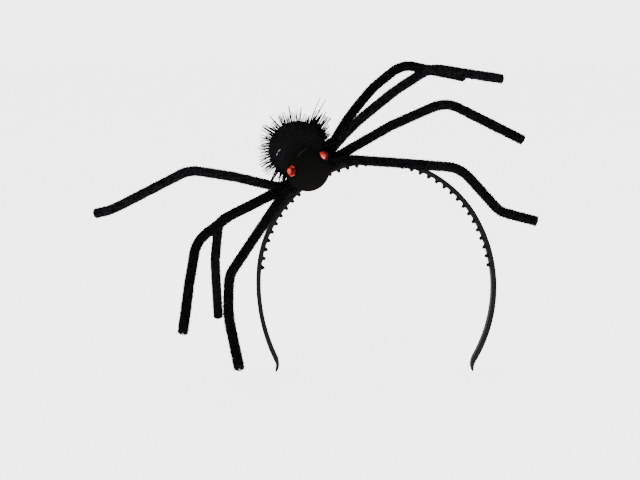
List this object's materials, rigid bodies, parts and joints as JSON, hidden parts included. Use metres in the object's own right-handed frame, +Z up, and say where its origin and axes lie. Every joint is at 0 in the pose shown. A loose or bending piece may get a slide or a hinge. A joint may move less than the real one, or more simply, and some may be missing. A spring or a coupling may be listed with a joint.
{
  "type": "spider headband",
  "caption": "Toothed plastic hair band with a round-bodied spider on its crown, faceted red eyes and bent chenille legs spreading to both sides.",
  "frame": {"origin": "middle of the hair band's inner face at the top of its crown, where the band rests on a head", "axes": "+X to the right seen from the front, +Y to the back, +Z up; the band's hoop lies in the XZ plane"},
  "size_m": [0.25, 0.1557, 0.1765],
  "materials": {
    "band_plastic": "glossy moulded black",
    "chenille_pile": "short black chenille pile",
    "head_flock": "smooth black flocked ball",
    "eyelash_yarn": "wound black yarn with loose shiny bristles",
    "red_stone": "clear red faceted acrylic"
  },
  "bodies": {
    "root": {"hair_band": "band_plastic", "head": "head_flock", "abdomen": "eyelash_yarn", "eye_left": "red_stone", "eye_right": "red_stone", "leg_stem_front": "chenille_pile", "leg_stem_second": "chenille_pile", "leg_stem_third": "chenille_pile", "leg_stem_rear": "chenille_pile"}
  },
  "joints": []
}
